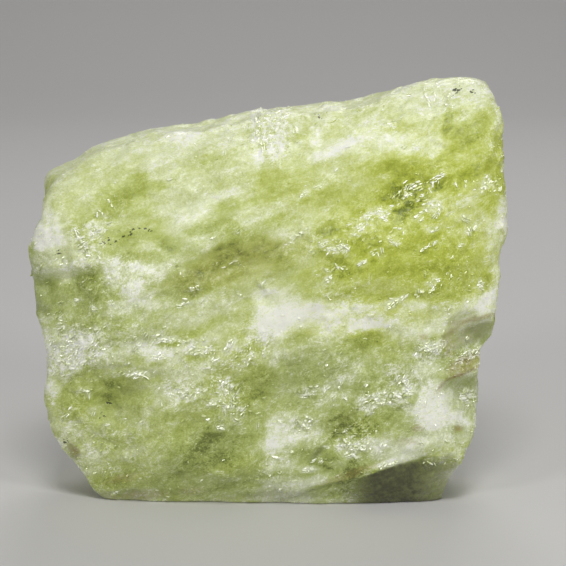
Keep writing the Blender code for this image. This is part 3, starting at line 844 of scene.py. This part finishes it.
class Nodes:
    """Short ways to add and join shader nodes."""

    def __init__(self, material):
        self.tree = material.node_tree

    def add(self, kind, settings=None, **inputs):
        """A new node; its inputs are given by name, or by number as in _0."""
        node = self.tree.nodes.new(kind)
        for name, value in (settings or {}).items():
            setattr(node, name, value)
        for name, value in inputs.items():
            self.feed(node.inputs[int(name[1:]) if name[0] == "_" else name.replace("_", " ")], value)
        return node

    def feed(self, socket, value):
        if isinstance(value, bpy.types.NodeSocket):
            self.tree.links.new(value, socket)
        else:
            socket.default_value = value

    def math(self, operation, a, b=0.0, clamp=False):
        settings = {"operation": operation, "use_clamp": clamp}
        return self.add("ShaderNodeMath", settings, _0=a, _1=b).outputs[0]

    def scaled(self, value, amount, rest):
        """The value times the amount, plus the rest."""
        return self.math("ADD", self.math("MULTIPLY", value, amount), rest)

    def vector(self, operation, a, b):
        return self.add("ShaderNodeVectorMath", {"operation": operation}, _0=a, _1=b).outputs[0]

    def resized(self, vector, amount):
        return self.add("ShaderNodeVectorMath", {"operation": "SCALE"}, _0=vector, Scale=amount).outputs[0]

    def value(self, name):
        return self.add("ShaderNodeAttribute", {"attribute_name": name}).outputs["Fac"]

    def noise(self, place, size_mm, detail=4.0, roughness=0.55, distortion=0.0):
        node = self.add("ShaderNodeTexNoise", Vector=place, Scale=1.0 / (size_mm * MM), Detail=detail,
                        Roughness=roughness, Distortion=distortion)
        return node.outputs["Fac"]

    def drift(self, place, scale, detail, amount):
        """A wandering offset for the place, up to the amount in metres."""
        node = self.add("ShaderNodeTexNoise", Vector=place, Scale=scale, Detail=detail)
        return self.resized(node.outputs["Color"], amount)

    def in_bands(self, place, stretch):
        """The place in cells that are stretched along the growth bands."""
        return self.add("ShaderNodeMapping", {"vector_type": "TEXTURE"}, Vector=place,
                        Rotation=(0.0, BAND_TILT, 0.0), Scale=stretch).outputs[0]

    def cells(self, place, size_mm):
        return self.add("ShaderNodeTexVoronoi", Vector=place, Scale=1.0 / (size_mm * MM)).outputs

    def around_zero(self, value, amount):
        return self.math("MULTIPLY", self.math("SUBTRACT", value, 0.5), amount)

    def milky_ramp(self, value, colours):
        node = self.add("ShaderNodeValToRGB", Fac=value)
        elements = node.color_ramp.elements
        while len(elements) < len(colours):
            elements.new(1.0)
        for element, position, colour in zip(elements, MILKINESS, colours):
            element.position = position
            element.color = (*colour, 1.0)
        return node.outputs["Color"]

    def blend(self, share, a, b):
        return self.add("ShaderNodeMix", {"data_type": "RGBA"}, _0=share, _6=a, _7=b).outputs[2]


# The quartz's colours from clear to milky, where it is vivid and where it is greyer.
MILKINESS = (0.0, 0.14, 0.25, 0.45, 0.65, 0.85, 1.0)
VIVID_COLOURS = [
    (0.172, 0.219, 0.015), (0.330, 0.386, 0.032), (0.414, 0.476, 0.043), (0.539, 0.609, 0.094),
    (0.656, 0.716, 0.250), (0.822, 0.872, 0.525), (0.960, 0.986, 0.826),
]
GREY_COLOURS = [
    (0.158, 0.193, 0.037), (0.290, 0.344, 0.086), (0.365, 0.430, 0.123), (0.488, 0.558, 0.228),
    (0.634, 0.681, 0.419), (0.796, 0.842, 0.600), (0.962, 0.986, 0.850),
]
# The dark of smoke in the quartz, also used for painted shade.
SMOKE_AND_SHADE_COLOUR = (0.085, 0.087, 0.038, 1.0)
IRON_COLOUR = (0.330, 0.215, 0.060, 1.0)
SPECK_COLOUR = (0.020, 0.020, 0.012, 1.0)


def set_sockets(node, settings):
    for name, value in settings.items():
        node.inputs[name].default_value = value


def new_material(name):
    """A material with nodes, and its shader."""
    material = bpy.data.materials.new(name)
    material.use_nodes = True
    return material, material.node_tree.nodes["Principled BSDF"]


def quartz_material(name, glow, roughness, scatter, mirror):
    """Cloudy quartz: the painted values broken up by streaks and grain."""
    material, shader = new_material(name)
    n = Nodes(material)
    place = n.add("ShaderNodeTexCoord").outputs["Object"]
    along_bands = n.in_bands(place, (1.9, 1.3, 1.0))
    warped = n.vector("ADD", along_bands, n.drift(place, 700.0, 3.0, 0.0016))

    wisps = n.noise(along_bands, 3.8, 6.0, 0.58, 0.8)
    fibres = n.noise(along_bands, 0.80, 4.0, 0.60, 1.5)
    mottle = n.noise(place, 1.3, 5.0, 0.65)
    sugar = n.value("sugar")
    bent = n.vector("ADD", place, n.drift(place, 160.0, 2.0, 0.006))
    feathers = n.noise(n.in_bands(bent, (4.0, 1.5, 1.0)), 0.9, 3.0, 0.6)
    strokes = n.math("ABSOLUTE", n.around_zero(feathers, 22.0))
    strokes = n.math("SUBTRACT", 1.0, strokes, clamp=True)
    patchy = n.math("ADD", n.around_zero(n.noise(place, 2.6, 3.0, 0.6), 6.0), 0.4, clamp=True)
    strokes = n.math("MULTIPLY", strokes, patchy)

    grit = n.noise(place, 0.38, 2.0, 0.5)
    busy = n.scaled(sugar, 0.8, n.scaled(n.value("flaky"), 0.9, 0.15))
    cloud = n.math("ADD", n.value("cloud"), n.around_zero(wisps, 0.55))
    cloud = n.scaled(n.around_zero(grit, 1.0), n.scaled(sugar, 0.6, 0.15), cloud)
    cloud = n.math("ADD", cloud, n.around_zero(fibres, 0.42))
    cloud = n.scaled(n.around_zero(mottle, 1.0), busy, cloud)
    strokes = n.math("MULTIPLY", strokes, n.scaled(sugar, 0.50, 0.12))
    cloud = n.math("ADD", cloud, strokes, clamp=True)
    greyer, vivid = n.milky_ramp(cloud, GREY_COLOURS), n.milky_ramp(cloud, VIVID_COLOURS)
    colour = n.blend(n.value("vivid"), greyer, vivid)

    # Dark smoke in the quartz, and painted shade on faces that look down.
    smoke_and_shade = n.math("ADD", n.around_zero(mottle, 1.2), 0.95)
    colour = n.blend(n.math("MULTIPLY", n.value("smoke_and_shade"), smoke_and_shade, clamp=True), colour, SMOKE_AND_SHADE_COLOUR)
    rust = n.math("ADD", n.around_zero(fibres, 3.0), 0.7)
    colour = n.blend(n.math("MULTIPLY", n.value("iron"), rust, clamp=True), colour, IRON_COLOUR)
    dot_size = n.math("MULTIPLY", n.value("speck"), 0.46)
    dots = n.math("LESS_THAN", n.cells(warped, 0.7)["Distance"], dot_size)
    colour = n.blend(n.math("MULTIPLY", dots, 0.85), colour, SPECK_COLOUR)
    colour = n.resized(colour, n.math("ADD", n.around_zero(grit, 0.20), 1.0))
    n.feed(shader.inputs["Base Color"], n.vector("MINIMUM", colour, (0.97, 0.97, 0.97)))

    height = n.scaled(wisps, 0.15, n.math("MULTIPLY", fibres, 0.08))
    leaning = n.add("ShaderNodeBump", Strength=1.0, Distance=MM, Height=height).outputs[0]
    # Each cell of three sizes looks its own way; the smallest cells lean most where it is sugary.
    for ground, size_mm, amount in (
        (warped, 3.0, 0.14), (warped, 1.2, 0.12), (place, 0.55, n.scaled(sugar, 0.32, 0.09))
    ):
        lean = n.vector("SUBTRACT", n.cells(ground, size_mm)["Color"], (0.5, 0.5, 0.5))
        leaning = n.vector("ADD", leaning, n.resized(n.resized(lean, amount), scatter))
    leaning = n.add("ShaderNodeVectorMath", {"operation": "NORMALIZE"}, _0=leaning).outputs[0]
    n.feed(shader.inputs["Normal"], leaning)

    polish = n.scaled(n.noise(place, 0.8, 2.0), 0.25, roughness)
    polish = n.math("SUBTRACT", polish, n.math("MULTIPLY", sugar, 0.14), clamp=True)
    n.feed(shader.inputs["Roughness"], polish)
    set_sockets(shader, {
        "IOR": 1.54, "Specular IOR Level": mirror, "Subsurface Weight": glow,
        "Subsurface Radius": (1.0, 1.0, 0.5), "Subsurface Scale": 0.0015})
    return material


# ---- studio


def make_floor():
    """A plain pale sheet that runs back and curves up behind the stone."""
    half_width, front_y, bend_y, radius, top = 1.6, -1.4, 0.7, 0.5, 1.8
    profile = [(front_y, 0.0), (bend_y, 0.0)]
    steps = 12
    for step in range(1, steps + 1):
        turn = math.radians(90.0 * step / steps)
        profile.append((bend_y + radius * math.sin(turn), radius * (1.0 - math.cos(turn))))
    profile.append((bend_y + radius, top))
    points = [(side * half_width, y, z) for y, z in profile for side in (-1, 1)]
    faces = [(2 * i, 2 * i + 1, 2 * i + 3, 2 * i + 2) for i in range(len(profile) - 1)]
    mesh = bpy.data.meshes.new("studio_floor")
    mesh.from_pydata(points, [], faces)
    mesh.shade_smooth()
    material, shader = new_material("pale_floor")
    set_sockets(shader, {"Base Color": (0.62, 0.61, 0.60, 1.0), "Roughness": 0.8})
    mesh.materials.append(material)
    floor = new_object("studio_floor", mesh)


def soft_light(name, place, size, power):
    light = bpy.data.lights.new(name, "AREA")
    light.size = size
    light.energy = power
    lamp = new_object(name, light)
    lamp.location = place
    lamp.rotation_euler = (Vector((0.0, 0.0, 0.05)) - Vector(place)).to_track_quat("-Z", "Y").to_euler()


def make_lights():
    world = bpy.data.worlds.new("soft_studio")
    world.use_nodes = True
    background = world.node_tree.nodes["Background"]
    set_sockets(background, {"Color": (1.0, 1.0, 1.0, 1.0), "Strength": 0.20})
    bpy.context.scene.world = world
    soft_light("top_front", (0.02, -0.52, 0.80), 0.24, 3.05)
    soft_light("front_left", (-0.60, -0.66, 0.40), 0.16, 1.62)
    soft_light("front_right", (0.62, -0.60, 0.35), 0.16, 1.92)
    soft_light("back_top", (0.10, 0.60, 0.70), 0.40, 2.0)


def make_camera():
    camera = bpy.data.cameras.new("camera")
    camera.lens = camera.sensor_width * CAMERA_DISTANCE / (PICTURE_SIDE * METRES_PER_PIXEL)
    holder = new_object("camera", camera)
    holder.location = EYE
    holder.rotation_euler = (-BACK).to_track_quat("-Z", "Y").to_euler()
    bpy.context.scene.camera = holder


cloudy = quartz_material("cloudy_citrine", glow=0.35, roughness=0.28, scatter=1.0, mirror=0.5)
skin, skin_values = make_skin(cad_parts[NODE], cloudy)
glinting = quartz_material("flaked_citrine", glow=0.0, roughness=0.06, scatter=0.3, mirror=0.62)
flakes = make_flakes(skin, skin_values, glinting)
for piece in (skin, flakes):
    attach(piece, "root")
    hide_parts(NODE)
make_floor()
make_lights()
make_camera()
bpy.context.scene.view_settings.view_transform = "Standard"
